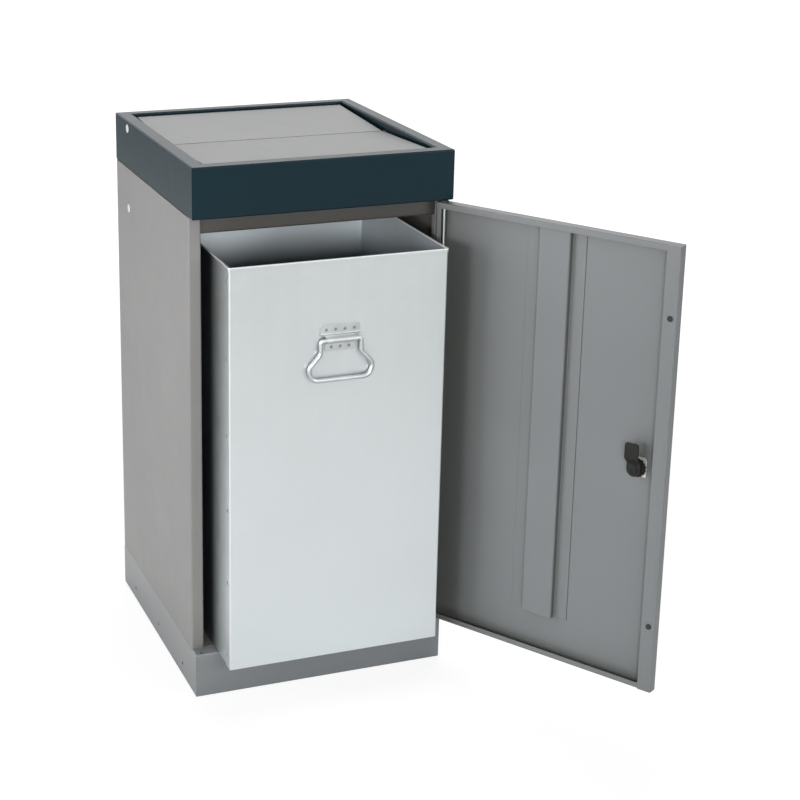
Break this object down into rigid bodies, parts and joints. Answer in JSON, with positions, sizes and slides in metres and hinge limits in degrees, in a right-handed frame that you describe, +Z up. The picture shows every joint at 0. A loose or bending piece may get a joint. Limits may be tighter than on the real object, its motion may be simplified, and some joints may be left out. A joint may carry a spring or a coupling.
{
  "type": "recycling bin",
  "caption": "Square sheet-steel recycling bin with a push flap in its hood, a lockable door on a hinge rod and a galvanised inner container with a drop handle.",
  "frame": {"origin": "centre of the cabinet's footprint, on the ground under the plinth", "axes": "+Z up, -Y towards the door at the front, +X towards the hinged side, on the right as seen from the front"},
  "size_m": [0.5997, 0.7446, 0.82],
  "materials": {
    "cabinet_paint": "satin",
    "plinth_paint": "satin",
    "hood_paint": "satin",
    "flap_paint": "satin",
    "door_paint": "satin",
    "galvanised_sheet": "bright, faintly spangled",
    "zinc_steel": "zinc plated",
    "black_steel": "black passivated",
    "black_plastic": "matt",
    "black_rubber": "matt",
    "plug_plastic": "semi-gloss"
  },
  "bodies": {
    "cabinet": {"plinth": "plinth_paint", "floor_panel": "cabinet_paint", "left_side_panel": "cabinet_paint", "right_side_panel": "cabinet_paint", "back_panel": "cabinet_paint", "upper_rail": "cabinet_paint", "hood_brackets": "cabinet_paint", "hood_frame": "hood_paint", "hood_screws": "zinc_steel", "side_plugs": "plug_plastic", "flap_bushes": "black_plastic", "hinge_rod": "zinc_steel"},
    "flap": {"flap_front_leaf": "flap_paint", "flap_rear_leaf": "flap_paint", "flap_web": "zinc_steel", "flap_pivots": "zinc_steel", "flap_balance_bar": "zinc_steel", "flap_rivets": "zinc_steel"},
    "door": {"door_pan": "door_paint", "door_stiffener": "door_paint", "door_bushes": "black_plastic", "door_buffers": "black_rubber", "lock_barrel": "zinc_steel", "lock_plate": "zinc_steel", "lock_nut": "black_steel"},
    "cam": {"lock_core": "zinc_steel", "lock_cam": "black_steel", "cam_screw": "black_steel"},
    "container": {"container_shell": "galvanised_sheet", "container_front": "galvanised_sheet", "container_base": "galvanised_sheet", "container_rivets": "zinc_steel", "handle_plate": "zinc_steel", "handle_rivets": "zinc_steel"},
    "bail": {"handle_bail": "zinc_steel"}
  },
  "joints": [
    {"name": "door_hinge", "type": "hinge", "parent": "cabinet", "child": "door", "pos_m": [0.189, -0.203, 0.407], "axis": [0, 0, 1], "range_deg": [-122, 0]},
    {"name": "flap_swing", "type": "hinge", "parent": "cabinet", "child": "flap", "pos_m": [0, 0, 0.8], "axis": [1, 0, 0], "range_deg": [-35, 35]},
    {"name": "lock_cam", "type": "hinge", "parent": "door", "child": "cam", "pos_m": [0.36052, -0.49202, 0.407], "axis": [0.848, 0.5299, 0], "range_deg": [0, 90]},
    {"name": "container_slide", "type": "slide", "parent": "cabinet", "child": "container", "axis": [0, 1, 0], "range_m": [0, 0.147]},
    {"name": "handle_bail", "type": "hinge", "parent": "container", "child": "bail", "pos_m": [0, -0.27784, 0.5705], "axis": [-1, 0, 0], "range_deg": [0, 90]}
  ],
  "couplings": [
    {"joint": "container_slide", "follows": "door_hinge", "m_per_rad": -0.069}
  ]
}
